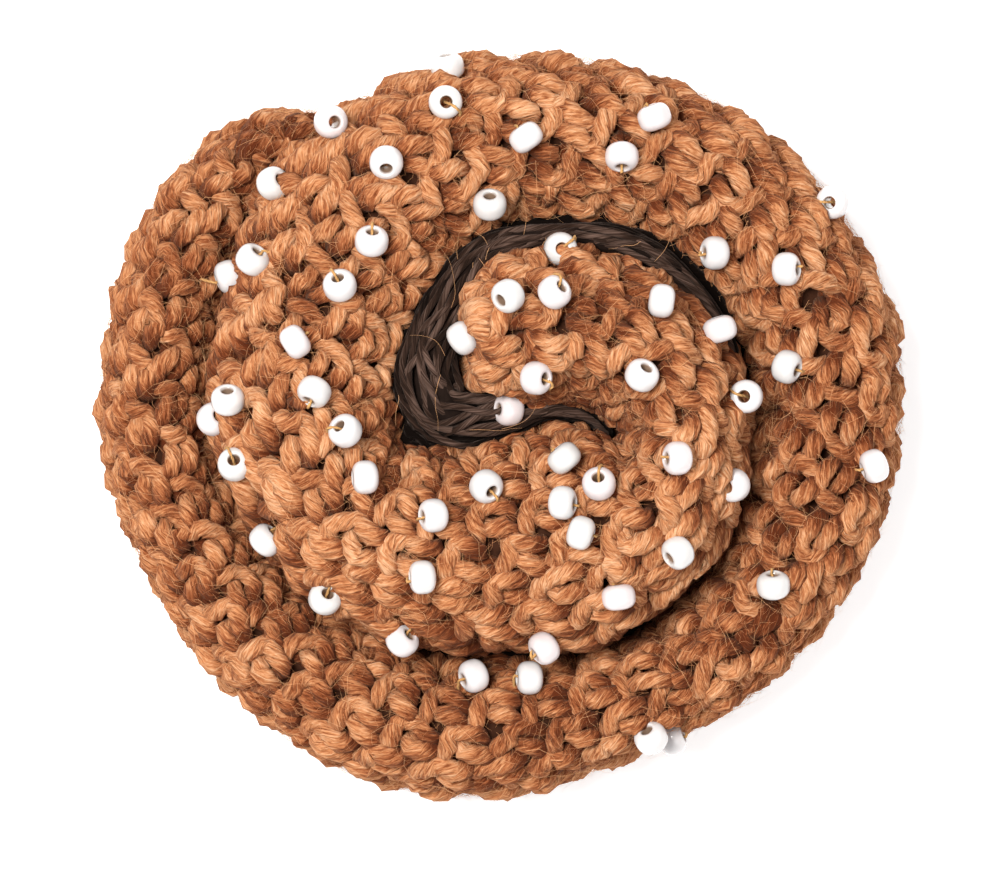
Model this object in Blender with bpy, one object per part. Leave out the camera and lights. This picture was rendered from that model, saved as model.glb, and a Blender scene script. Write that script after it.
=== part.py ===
"""A crocheted toy cinnamon bun: a stuffed strip of brown yarn rolled into a spiral, a dark filling
between its turns and white glass beads sewn on as sprinkles.

Lengths in the tables are in millimetres and angles in degrees. The bun stands on z = 0 with +Z up,
and its outline in plan is centred on the origin.
"""

import math

import bmesh
import bpy
from mathutils import Matrix, Vector
from mathutils.bvhtree import BVHTree

MM = 0.001
COLLECTION = "cinnamon_bun"

# Crochet gauge: one stitch along the strip, and how far a stitch swells out of the strip's surface.
STITCH_PITCH = 6.7
STITCH_SWELL = 0.45
RINGS_PER_STITCH = 2
# Stitches swell freely on top and this far out, and lie flat where turns press together.
OUTLINE_RADIUS = 38.0
# Below this half width the strip is pulled tight, and its stitches swell less.
TIGHT_HALF_WIDTH = 5.0

# Cross-section of the stuffed strip: points round it, roundness of its walls and top, and the
# height that is pressed flat where it stands.
SECTION_POINTS = 24
WALL_POWER = 2.7
TOP_POWER = 2.3
FOOT_POWER = 4.0
FOOT_PRESS = 0.8
FOOT_FADE = 5.0
FINE_SECTION = 240
FINE_ROUTE = 12

# The strip's two outer turns, anticlockwise from its loose end at the upper left, seen from above:
# angle, radius of its inner wall, radius of its outer wall, height of its top.
TURNS = (
    (127, 39.5, 44.3, 21.0),
    (132, 39.1, 45.5, 22.5),
    (140, 37.3, 46.2, 24.0),
    (150, 35.5, 45.9, 25.0),
    (165, 34.1, 45.1, 25.5),
    (180, 32.9, 44.5, 26.0),
    (195, 31.4, 43.3, 26.0),
    (210, 30.3, 42.4, 26.0),
    (225, 28.9, 42.1, 26.0),
    (240, 27.8, 42.1, 26.0),
    (255, 27.0, 41.7, 26.0),
    (270, 26.4, 41.0, 26.0),
    (285, 26.9, 39.7, 26.0),
    (300, 28.0, 39.8, 26.0),
    (315, 28.2, 41.0, 26.5),
    (330, 28.5, 42.2, 27.0),
    (345, 28.1, 43.4, 27.5),
    (360, 28.1, 44.3, 28.0),
    (375, 28.4, 45.1, 28.5),
    (390, 28.2, 44.6, 29.0),
    (405, 26.7, 43.8, 29.5),
    (420, 25.1, 42.8, 30.0),
    (435, 23.2, 41.7, 31.0),
    (450, 22.0, 41.0, 32.0),
    (465, 19.4, 40.2, 33.5),
    (480, 16.8, 38.9, 35.0),
    (495, 14.6, 35.9, 36.0),
    (510, 13.2, 33.3, 37.0),
    (525, 12.2, 32.4, 37.5),
    (540, 11.5, 31.1, 38.0),
)

# The strip's heart, where it bends sharply back on itself and ends:
# x and y of its centreline, half its width, height of its top.
HEART = (
    (-18.7, -7.1, 8.9, 38.0),
    (-13.7, -11.4, 9.6, 38.0),
    (-6.8, -13.1, 10.8, 38.0),
    (0.9, -12.6, 11.7, 38.0),
    (8.4, -11.4, 12.2, 38.5),
    (15.8, -9.2, 8.6, 39.0),
    (19.1, -4.8, 6.7, 39.5),
    (20.0, 0.2, 6.2, 40.0),
    (18.0, 5.2, 7.2, 40.5),
    (14.0, 8.9, 7.8, 41.0),
    (8.7, 10.6, 8.7, 41.5),
    (3.7, 10.8, 8.4, 42.0),
    (0.9, 10.4, 8.0, 42.0),
    (-1.4, 10.2, 6.5, 41.5),
)

# Each end of the strip is closed by shrinking rings over this depth.
OUTER_END_DEPTH = 2.0
INNER_END_DEPTH = 2.0
END_RINGS = 3
END_TOP_DROP = 0.3

# The dark filling, from the tip of the crease in the heart out to where the strip ends. It shows as
# a crescent round the heart, then dives and lies hidden between the turns:
# x, y, half its thickness, height of its top.
FILLING_HEART = (
    (6.2, 1.25, 0.35, 31.0),
    (4.4, 1.15, 0.5, 30.5),
    (1.6, 0.8, 0.8, 29.5),
    (-1.6, 0.5, 1.3, 30.0),
    (-4.7, 0.55, 2.0, 31.5),
    (-6.9, 2.0, 2.8, 32.5),
    (-7.7, 4.8, 3.1, 32.5),
    (-7.3, 7.8, 2.7, 32.0),
    (-6.6, 11.0, 2.0, 31.5),
    (-5.4, 14.5, 1.3, 31.0),
    (-3.0, 18.1, 1.0, 30.5),
    (1.1, 20.5, 1.0, 30.5),
    (7.0, 20.9, 1.1, 30.0),
    (11.2, 20.4, 1.1, 29.5),
    (15.4, 18.9, 1.1, 28.5),
    (19.8, 16.2, 1.0, 27.5),
    (23.4, 12.5, 0.8, 25.0),
    (25.9, 8.5, 0.5, 20.0),
    (26.9, 4.0, 0.4, 17.0),
)
# The hidden stretch: angle, radius, running clockwise.
FILLING_HIDDEN = (
    (-15, 27.2),
    (-30, 27.2),
    (-45, 27.1),
    (-60, 26.9),
    (-75, 25.9),
    (-90, 25.4),
    (-105, 26.0),
    (-120, 26.8),
    (-135, 27.9),
    (-150, 29.3),
    (-165, 30.4),
    (-180, 32.0),
    (-195, 33.3),
    (-210, 34.7),
    (-222, 36.8),
)
FILLING_HIDDEN_HALF = 0.4
FILLING_HIDDEN_TOP = 17.0
FILLING_FOOT = 1.0
FILLING_STEP = 3.0
FILLING_CROWN = (0.55, 0.86)

# Glass seed beads: outer diameter, length along the hole, and how far one sinks into the yarn.
BEAD_DIAMETER = 4.0
BEAD_LENGTH = 3.0
BEAD_SINK = 0.75
# A bead is a ball drawn out along its hole by this much and cut flat at both ends.
BEAD_DRAW = 1.2
BEAD_SIDES = 6
BEAD_RINGS = 4
BEAD_DROP_FROM = 60.0
BEAD_DROP_STEPS = 60
BEAD_TOUCH = 0.02

# Each bead: x, y, the direction that its hole opens to, and the hole's lean from upright.
BEADS = (
    (-6.0, 39.8, 100, 75),
    (-6.2, 35.7, 0, 5),
    (-18.9, 33.6, 355, 22),
    (-12.7, 29.0, 270, 35),
    (-25.7, 26.8, 25, 45),
    (2.7, 31.8, 125, 88),
    (16.9, 34.1, 110, 85),
    (13.3, 29.7, 270, 60),
    (-1.3, 24.4, 90, 48),
    (-14.3, 20.3, 85, 52),
    (-27.8, 18.4, 55, 58),
    (-31.2, 16.4, 200, 85),
    (-17.8, 15.4, 105, 42),
    (-22.9, 9.3, 32, 90),
    (6.5, 19.5, 0, 8),
    (0.7, 14.2, 212, 48),
    (5.8, 14.6, 38, 52),
    (-4.3, 9.6, 35, 78),
    (17.6, 13.7, 172, 90),
    (23.6, 19.1, 180, 65),
    (31.5, 17.3, 0, 68),
    (37.0, 25.0, 190, 20),
    (24.1, 10.6, 107, 88),
    (31.6, 6.5, 340, 62),
    (3.8, 5.2, 355, 50),
    (15.4, 5.5, 58, 48),
    (27.0, 3.2, 180, 12),
    (0.9, 2.5, 180, 58),
    (-20.6, 3.7, 240, 62),
    (-30.7, 2.8, 92, 52),
    (-32.6, 0.8, 30, 35),
    (-17.2, -0.6, 140, 42),
    (-30.0, -4.3, 95, 24),
    (-15.0, -5.7, 183, 82),
    (-7.5, -9.9, 186, 64),
    (-1.7, -6.7, 318, 42),
    (6.9, -3.6, 130, 88),
    (10.7, -6.4, 98, 34),
    (6.7, -8.5, 355, 72),
    (8.7, -11.8, 342, 84),
    (19.3, -3.6, 182, 64),
    (25.0, -6.6, 160, 35),
    (41.3, -4.5, 200, 80),
    (19.4, -14.0, 213, 60),
    (12.8, -18.9, 98, 86),
    (30.1, -17.7, 92, 66),
    (-26.1, -12.7, 45, 70),
    (-8.7, -16.7, 184, 82),
    (-19.5, -19.1, 60, 30),
    (-11.0, -23.8, 40, 55),
    (-3.1, -27.8, 200, 65),
    (3.1, -28.0, 181, 80),
    (4.7, -24.6, 212, 72),
    (16.6, -34.7, 120, 50),
    (19.0, -34.9, 20, 80),
)

DOUGH_YARN = (0.45, 0.16, 0.05, 1.0)
DARK_YARN = (0.045, 0.022, 0.016, 1.0)
YARN_ROUGHNESS = 0.9
SMOOTH_ANGLE = math.radians(60)


def clear_scene():
    for item in list(bpy.data.objects):
        bpy.data.objects.remove(item)


def new_collection(name):
    collection = bpy.data.collections.new(name)
    bpy.context.scene.collection.children.link(collection)
    return collection


def yarn_material(name, color):
    material = bpy.data.materials.new(name)
    material.use_nodes = True
    shader = material.node_tree.nodes["Principled BSDF"]
    shader.inputs["Base Color"].default_value = color
    shader.inputs["Roughness"].default_value = YARN_ROUGHNESS
    shader.inputs["Metallic"].default_value = 0.0
    return material


def polar(angle, radius):
    turn = math.radians(angle)
    return radius * math.cos(turn), radius * math.sin(turn)


def strip_rows():
    """Centreline place, half width and top of the strip at every row of the two tables."""
    rows = []
    for angle, inner, outer, top in TURNS:
        x, y = polar(angle, (inner + outer) / 2)
        rows.append(Vector((x, y, (outer - inner) / 2, top)))
    rows.extend(Vector(row) for row in HEART)
    return rows


def filling_rows():
    rows = [Vector(row) for row in FILLING_HEART]
    for angle, radius in FILLING_HIDDEN:
        x, y = polar(angle, radius)
        rows.append(Vector((x, y, FILLING_HIDDEN_HALF, FILLING_HIDDEN_TOP)))
    return rows


def smooth_rows(rows):
    """The rows joined by a smooth curve, with FINE_ROUTE points to each."""
    padded = [rows[0] * 2 - rows[1], *rows, rows[-1] * 2 - rows[-2]]
    points = []
    for before, start, end, after in zip(padded, padded[1:], padded[2:], padded[3:]):
        for step in range(FINE_ROUTE):
            t = step / FINE_ROUTE
            points.append(
                (
                    start * 2
                    + (end - before) * t
                    + (before * 2 - start * 5 + end * 4 - after) * t**2
                    + (start * 3 - before - end * 3 + after) * t**3
                )
                / 2
            )
    return [*points, rows[-1]]


def plan_length(points):
    return sum((end.xy - start.xy).length for start, end in zip(points, points[1:]))


def even_rows(points, spacing):
    """The curve read again at equal steps along its plan, near the given spacing."""
    lengths = [0.0]
    for start, end in zip(points, points[1:]):
        lengths.append(lengths[-1] + (end.xy - start.xy).length)
    count = round(lengths[-1] / spacing)
    rows = []
    span = 0
    for step in range(count + 1):
        along = lengths[-1] * step / count
        while span < len(points) - 2 and lengths[span + 1] < along:
            span += 1
        part = (along - lengths[span]) / (lengths[span + 1] - lengths[span])
        rows.append(points[span].lerp(points[span + 1], part))
    return rows


def headings(rows):
    """The unit direction of travel in plan at every row."""
    padded = [rows[0], *rows, rows[-1]]
    return [(after.xy - before.xy).normalized() for before, after in zip(padded, padded[2:])]


def signed_power(value, power):
    return math.copysign(abs(value) ** (2 / power), value)


def strip_section(half_width, top):
    """(offset to the outer side, height) round the strip, from the middle of its foot outwards."""
    fine = []
    for step in range(FINE_SECTION + 1):
        turn = 2 * math.pi * step / FINE_SECTION - math.pi / 2
        power = TOP_POWER if math.sin(turn) > 0 else FOOT_POWER
        side = half_width * signed_power(math.cos(turn), WALL_POWER)
        height = (top + FOOT_PRESS) * (1 + signed_power(math.sin(turn), power)) / 2 - FOOT_PRESS
        fine.append(Vector((side, max(height, 0.0), 0.0, 0.0)))
    return [(row.x, row.y) for row in even_rows(fine, plan_length(fine) / SECTION_POINTS)[:-1]]


def swelling(ring, index):
    """How far a stitch stands out of, or sinks into, the strip's even surface."""
    along = math.cos(2 * math.pi * ring / RINGS_PER_STITCH)
    across = math.cos(math.pi * index)
    return STITCH_SWELL * (along + across) / 2


def strip_ring(row, heading, ring):
    """One ring of the strip: its section set across the centreline, with the stitches' swelling."""
    outward = Vector((heading.y, -heading.x))
    section = strip_section(row.z, row.w)
    tightness = min(1.0, row.z / TIGHT_HALF_WIDTH) ** 2
    points = []
    for index, (side, height) in enumerate(section):
        before = Vector(section[index - 1])
        after = Vector(section[(index + 1) % len(section)])
        along = (after - before).normalized()
        place = row.xy + outward * side
        freedom = 1.0 if place.length > OUTLINE_RADIUS else max(0.0, -along.x)
        swell = tightness * swelling(ring, index) * freedom * min(1.0, height / FOOT_FADE)
        place += outward * along.y * swell
        points.append(Vector((place.x, place.y, height - along.x * swell)))
    return points


def middle(ring):
    return sum(ring, Vector()) / len(ring)


def closing_rings(ring, direction, depth):
    """Rings that shrink past an end of the strip, so that it ends rounded, and the tip they run to."""
    centre = middle(ring)
    rings = []
    for step in range(1, END_RINGS + 1):
        turn = math.pi / 2 * step / (END_RINGS + 1)
        narrow = math.cos(turn)
        lower = 1 - END_TOP_DROP * (1 - narrow)
        shifted = []
        for point in ring:
            spot = centre + (point - centre) * narrow
            spot.z = point.z * lower
            shifted.append(spot + direction.to_3d() * depth * math.sin(turn))
        rings.append(shifted)
    return rings, middle(rings[-1]) + direction.to_3d() * depth * (1 - math.sin(turn))


def loft(name, rings, tips, material, collection):
    """One closed solid through the rings, which go round their centreline the same way."""
    mesh = bmesh.new()
    loops = [[mesh.verts.new(point * MM) for point in ring] for ring in rings]
    for near, far in zip(loops, loops[1:]):
        for index, vertex in enumerate(near):
            following = (index + 1) % len(near)
            mesh.faces.new((vertex, near[following], far[following], far[index]))
    for loop, tip in zip((loops[0], loops[-1]), tips):
        apex = mesh.verts.new(tip * MM)
        for index, vertex in enumerate(loop):
            mesh.faces.new((vertex, loop[index - 1], apex))
    bmesh.ops.triangulate(mesh, faces=mesh.faces)
    bmesh.ops.recalc_face_normals(mesh, faces=mesh.faces)
    data = bpy.data.meshes.new(name)
    mesh.to_mesh(data)
    mesh.free()
    data.materials.append(material)
    solid = bpy.data.objects.new(name, data)
    collection.objects.link(solid)
    return solid


def build_strip(material, collection):
    rows = even_rows(smooth_rows(strip_rows()), STITCH_PITCH / RINGS_PER_STITCH)
    ways = headings(rows)
    rings = [strip_ring(row, way, ring) for ring, (row, way) in enumerate(zip(rows, ways))]
    outer_end, outer_tip = closing_rings(rings[0], -ways[0], OUTER_END_DEPTH)
    inner_end, inner_tip = closing_rings(rings[-1], ways[-1], INNER_END_DEPTH)
    rings = [*outer_end[::-1], *rings, *inner_end]
    return loft("dough_strip", rings, (outer_tip, inner_tip), material, collection)


def filling_ring(row, heading):
    """One ring of the filling: a flat foot, upright sides and a rounded crown."""
    across = Vector((heading.y, -heading.x))
    width, height = FILLING_CROWN
    crown = row.z
    outline = (
        (-row.z, FILLING_FOOT),
        (row.z, FILLING_FOOT),
        (row.z, row.w - crown),
        (row.z * width, row.w - crown * (1 - height)),
        (0.0, row.w),
        (-row.z * width, row.w - crown * (1 - height)),
        (-row.z, row.w - crown),
    )
    places = [(row.xy + across * side, level) for side, level in outline]
    return [Vector((place.x, place.y, level)) for place, level in places]


def build_filling(material, collection):
    rows = even_rows(smooth_rows(filling_rows()), FILLING_STEP)
    rings = [filling_ring(row, way) for row, way in zip(rows, headings(rows))]
    tips = (middle(rings[0]), middle(rings[-1]))
    return loft("filling", rings, tips, material, collection)


def bead_mesh():
    """A round bead with flattened ends, its hole's line along Z."""
    mesh = bmesh.new()
    bmesh.ops.create_uvsphere(
        mesh, u_segments=BEAD_SIDES, v_segments=BEAD_RINGS, radius=BEAD_DIAMETER / 2 * MM
    )
    half = BEAD_LENGTH / 2 * MM
    for vertex in mesh.verts:
        vertex.co.z = max(-half, min(half, vertex.co.z * BEAD_DRAW))
    data = bpy.data.meshes.new("bead")
    mesh.to_mesh(data)
    mesh.free()
    return data


def rest_on(surface, x, y):
    """Where a bead's centre comes to rest when it is lowered onto the strip at x, y."""
    rest = (BEAD_DIAMETER / 2 - BEAD_SINK) * MM
    centre = Vector((x, y, BEAD_DROP_FROM)) * MM
    for _ in range(BEAD_DROP_STEPS):
        distance = surface.find_nearest(centre)[3]
        if distance - rest < BEAD_TOUCH * MM:
            break
        centre.z -= distance - rest
    return centre


def place_beads(strip):
    """A guide collection of the beads, each on the strip's surface and turned as its hole lies."""
    guides = new_collection("beads_to_fuse")
    depsgraph = bpy.context.evaluated_depsgraph_get()
    surface = BVHTree.FromObject(strip, depsgraph)
    data = bead_mesh()
    for x, y, azimuth, lean in BEADS:
        turn = Matrix.Rotation(math.radians(azimuth), 4, "Z")
        tilt = Matrix.Rotation(math.radians(lean), 4, "Y")
        bead = bpy.data.objects.new("bead", data)
        bead.matrix_world = Matrix.Translation(rest_on(surface, x, y)) @ turn @ tilt
        guides.objects.link(bead)
    return guides


def fuse(target, guides):
    """Joins the guide collection's solids to the target, and takes the guides away."""
    union = target.modifiers.new("fuse", "BOOLEAN")
    union.operation = "UNION"
    union.operand_type = "COLLECTION"
    union.collection = guides
    union.solver = "EXACT"
    evaluated = target.evaluated_get(bpy.context.evaluated_depsgraph_get())
    joined = bpy.data.meshes.new_from_object(evaluated)
    target.modifiers.clear()
    target.data = joined
    for item in list(guides.objects):
        bpy.data.objects.remove(item)
    bpy.data.collections.remove(guides)


def shade(solid):
    solid.data.shade_smooth()
    solid.data.set_sharp_from_angle(angle=SMOOTH_ANGLE)


def main():
    clear_scene()
    collection = new_collection(COLLECTION)
    dough = yarn_material("dough_yarn", DOUGH_YARN)
    dark = yarn_material("filling_yarn", DARK_YARN)
    strip = build_strip(dough, collection)
    filling = build_filling(dark, collection)
    bpy.context.view_layer.update()
    fuse(strip, place_beads(strip))
    for solid in (strip, filling):
        shade(solid)


main()
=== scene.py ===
"""The looks of the crocheted toy cinnamon bun: twisted yarn stitched round a stuffed strip whose
skin is painted dark as shade, dark filling yarn between the turns, pierced white beads, their
thread and loose fuzz.

Lengths are in millimetres and angles in degrees until a shape is made, then in metres.
"""

import math

import bmesh
import bpy
import numpy as np
from mathutils import Matrix, Vector
from mathutils.bvhtree import BVHTree


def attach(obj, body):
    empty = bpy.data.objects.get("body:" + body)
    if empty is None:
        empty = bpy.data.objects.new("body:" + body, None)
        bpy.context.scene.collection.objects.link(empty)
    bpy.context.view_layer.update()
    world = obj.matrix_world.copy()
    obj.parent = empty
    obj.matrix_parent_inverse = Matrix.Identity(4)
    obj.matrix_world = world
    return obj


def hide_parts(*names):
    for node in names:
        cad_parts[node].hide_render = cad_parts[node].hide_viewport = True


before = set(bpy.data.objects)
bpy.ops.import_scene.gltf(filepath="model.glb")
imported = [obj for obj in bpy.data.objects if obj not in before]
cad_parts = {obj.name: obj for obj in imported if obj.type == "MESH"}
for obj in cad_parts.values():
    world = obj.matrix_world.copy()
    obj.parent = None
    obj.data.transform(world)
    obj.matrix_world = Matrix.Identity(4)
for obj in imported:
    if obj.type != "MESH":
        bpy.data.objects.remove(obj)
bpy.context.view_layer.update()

MM = 0.001
SEED = 7
rng = np.random.default_rng(SEED)

# The photo's scale: millimetres to a pixel at the bun, and the pixel over the bun's origin.
PIXEL = 0.111
ORIGIN_PIXEL = (501.5, 425.5)
IMAGE_WIDTH = 986
IMAGE_HEIGHT = 869

# Points closer together than this, in metres, are made one.
MERGE = 1e-6
# A phase for a wave, in radians, is drawn from nought to this, a little over one turn.
PHASES = 7.0

# The stuffed strip: how finely its section and its route are worked out, how round its walls and
# top are, the height that is pressed flat where it stands, and how far its ends are rounded.
SECTION_FINE = 240
SECTION_STEPS = 160
ROUTE_FINE = 12
ROUTE_STEP = 0.8
WALL_POWER = 2.7
TOP_POWER = 2.3
FOOT_POWER = 4.0
FOOT_PRESS = 0.8
END_RINGS = 7
END_DEPTH = 3.0

# The strip's two outer turns, anticlockwise from its loose end at the upper left:
# angle, radius of the inner wall, radius of the outer wall, height of the top.
TURNS = (
    (123, 37.0, 41.2, 21.0),
    (127, 37.3, 43.2, 22.0),
    (132, 37.2, 44.8, 23.0),
    (140, 36.2, 45.9, 24.0),
    (150, 34.8, 45.9, 25.0),
    (165, 33.6, 45.1, 25.5),
    (180, 32.6, 44.5, 26.0),
    (195, 31.4, 43.3, 26.0),
    (210, 30.3, 42.4, 26.0),
    (225, 28.9, 42.1, 26.0),
    (240, 27.8, 42.1, 26.0),
    (255, 27.0, 41.7, 26.0),
    (270, 26.4, 41.0, 26.0),
    (285, 26.9, 39.7, 26.0),
    (300, 28.0, 39.8, 26.0),
    (315, 28.2, 41.0, 26.5),
    (330, 28.5, 42.2, 27.0),
    (345, 28.1, 43.4, 27.5),
    (360, 28.1, 44.3, 28.0),
    (375, 28.4, 45.1, 28.5),
    (390, 28.2, 44.6, 29.0),
    (405, 26.7, 43.8, 29.5),
    (420, 25.1, 42.8, 30.0),
    (435, 23.2, 41.7, 31.0),
    (450, 22.0, 41.0, 32.0),
    (465, 19.4, 40.2, 33.5),
    (480, 16.8, 38.9, 35.0),
    (495, 14.6, 35.9, 36.0),
    (510, 13.2, 33.3, 37.0),
    (525, 12.2, 32.4, 37.5),
    (540, 11.5, 31.1, 38.0),
)

# The strip's heart, where it bends back on itself and ends:
# x, y, half width, height of the top.
HEART = (
    (-18.7, -7.1, 8.9, 38.0),
    (-13.7, -11.4, 9.6, 38.0),
    (-6.8, -13.1, 10.8, 38.0),
    (0.9, -12.6, 11.7, 38.0),
    (8.4, -11.4, 12.2, 38.5),
    (15.8, -9.2, 8.6, 39.0),
    (19.1, -4.8, 6.7, 39.5),
    (20.0, 0.2, 6.2, 40.0),
    (18.0, 5.2, 7.2, 40.5),
    (14.0, 8.9, 7.8, 41.0),
    (8.7, 10.6, 8.7, 41.5),
    (3.7, 10.8, 8.4, 42.0),
    (0.9, 10.4, 8.0, 42.0),
    (-1.4, 10.2, 6.5, 41.5),
)

# Stitches: how long and how deep one is, how thick its yarn is, how far the yarn's middle lies
# under the strip's surface, and how far a stitch and its yarn's width stray from their pattern.
STITCH = 5.8
ROW = 4.7
YARN_RADIUS = 1.07
YARN_DEPTH = 1.15
YARN_STEP = 0.95
YARN_TWIST = -7.2
YARN_PLIES = 4
YARN_GROOVE = 0.08
YARN_SIDES = 16
STITCH_SMOOTH = 4
STITCH_WANDER = (0.070, 0.075, 0.22)
STITCH_LIFT = 0.22
YARN_WIDTH_WANDER = 0.05
# Each yarn's pattern of fibres starts somewhere along this length.
PATTERN_LENGTH = 500.0
# A row is set off from the one before by this share of a stitch, give or take a little.
# Down the outer wall the stitches stand in columns, which is what scallops the outline.
ROW_SHIFT = 0.46
ROW_SHIFT_WANDER = 0.10
LAST_SHIFTED_ROW = -4
# Every stitch stands out this much in its middle and sinks as much at its sides, on the crest and
# this far down the outer wall.
STITCH_SWELL = (0.22, 0.80)
STITCH_SWELL_REACH = 16.0
STITCH_SWELL_SINK = 0.7
STITCH_MIDDLE = 0.5
# The last row on either side may reach over the middle of the foot by this share of a row.
ROW_OVERLAP = 0.2
# The rows where the top ends and the side begins, and where the side ends and the foot begins.
SIDE_ROW = 3
FOOT_ROW = 6
# Where turns press together, the yarn fills the gap between them by this much. The outer wall is
# free only until the strip has gone once round.
PRESSED_FILL = 0.9
PRESSED_FROM = 8.0
PRESSED_FULL = 13.0
FREE_TO_ANGLE = 480.0

# One stitch of yarn: along the row in stitches, across it in rows, height in millimetres and
# thickness as a share of the yarn's own. An upright leg, a loop over its top and a bar below.
STITCH_PATH = (
    (0.14, -0.12, -1.3, 0.80),
    (0.13, 0.18, 0.05, 1.00),
    (0.16, 0.52, 0.45, 1.08),
    (0.27, 0.88, 0.10, 1.00),
    (0.48, 0.98, 0.20, 1.02),
    (0.72, 0.84, 0.50, 1.10),
    (0.95, 0.70, -0.50, 0.90),
    (0.72, 0.60, -1.5, 0.75),
    (0.42, 0.50, -0.9, 0.85),
    (0.55, 0.38, 0.25, 1.05),
    (0.80, 0.26, 0.45, 1.12),
    (1.02, 0.04, -0.20, 0.95),
    (1.10, -0.16, -1.4, 0.80),
)

# Yarn is at least and at most this share of its own thickness where the strip's bend pushes it
# together or draws it out.
SPREAD_LIMITS = (0.85, 1.30)

# Painted shade: yarn this far down is painted as dark as in a hole, this far up as on a crest.
SUNK = 1.0
PROUD = 0.5

# The row of yarn under the stitches, which shows in the holes between them.
UNDER_PATH = (
    (0.0, 0.0, -1.5, 1.0),
    (0.25, 0.28, -1.8, 1.0),
    (0.5, 0.5, -1.5, 1.0),
    (0.75, 0.28, -1.8, 1.0),
)
UNDER_RADIUS = 1.05
UNDER_SIDES = 10
UNDER_WIDTH_WANDER = 0.02

# The stuffing lies this deep under the strip's surface. Its skin has a ring at every second step of
# the route and a point at every fourth step of the section.
CORE_DEPTH = 2.9
CORE_ROUTE_STEP = 2
SHEET_COLUMN_STEP = 4

# The filling's strands: x and y in pixels of the photo, half the filling's width in pixels and
# the height of its top in millimetres.
FILLING = (
    (606, 434, 1, 27.0),
    (590, 419, 2, 29.8),
    (566, 411, 6, 31.5),
    (540, 408, 11, 31.8),
    (510, 414, 18, 32.0),
    (478, 418, 23, 32.2),
    (440, 412, 32, 32.5),
    (428, 386, 32, 32.8),
    (428, 360, 30, 32.8),
    (435, 332, 25, 32.4),
    (450, 302, 21, 32.0),
    (466, 272, 17, 31.5),
    (492, 248, 13, 31.0),
    (526, 239, 11, 30.4),
    (565, 236, 10, 30.0),
    (607, 238, 11, 29.8),
    (645, 251, 10, 29.4),
    (678, 274, 8, 28.6),
    (705, 303, 5, 27.4),
    (727, 338, 3, 25.0),
    (738, 380, 2, 21.0),
)
# Its strands: their size, how they lie over its width, and how far they wander in waves of these
# lengths, first to a side and then up and down.
STRAND_RADIUS = 0.39
STRAND_SIDES = 10
STRAND_SPACING = 0.84
STRAND_STEP = 0.8
STRAND_CROWN = 0.9
STRAND_SWAY = 0.325
STRAND_SWAY_WAVES = (27.0, 15.0, 8.0)
STRAND_RISE = 0.48
STRAND_RISE_WAVES = (21.0, 10.0)
WAVE_SHARE = (0.3, 1.0)
STRAND_TUCK = 1.1
STRAND_FREE_HALF = 3.0
STRAND_TWIST = -7.0
# A strand's middle lies this share of its radius inside the filling's edge and under its top, and
# has at least this much room to each side.
STRAND_INSET = 0.6
STRAND_ROOM = 0.1
# The bed of thicker strands under them, in two layers.
BED_RADIUS = 0.9
BED_SPACING = 1.3
BED_DROP = 1.3
BED_DEEP = 4.5
BED_WIDER = 1.6
# Strands that cross over the others from side to side, and how far along they swing across once.
CROSSING_STRANDS = 3
CROSSING_SWING = (18.0, 34.0)
CROSSING_CROWN = 1.2
CROSSING_RISE = 0.3
CROSSING_WAVE = 9.0
# Strands this far under the filling's top are in the dark, and this far under it in full light.
STRAND_SHADE = (2.1, 0.5)

# Glass beads: outer diameter, length along the hole, the hole, and how deep one sinks in.
BEAD_DIAMETER = 3.75
BEAD_LENGTH = 2.95
BEAD_HOLE = 1.55
BEAD_HOLE_WAIST = 0.82
BEAD_HOLE_DEPTH = 0.5
BEAD_ROUNDNESS = 0.74
BEAD_OUTLINE = 16
BEAD_SINK = 0.5
BEAD_STEPS = 28
BEAD_DROP_FROM = 60.0
BEAD_DROP_STEPS = 60
BEAD_TOUCH = 0.01
BEAD_MERGE = 1e-7
# The thread through a bead, which shows at this share of them.
THREAD_RADIUS = 0.16
THREAD_SIDES = 8
THREAD_PLIES = 2
THREAD_GROOVE = 0.15
THREAD_TWIST = 1.6
THREAD_SMOOTH = 6
THREAD_STEP = 0.35
THREAD_SHARE = 0.65
THREAD_SPREAD = 0.5
THREAD_UPRIGHT = 0.6
THREAD_DEPTH = 0.8

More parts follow.
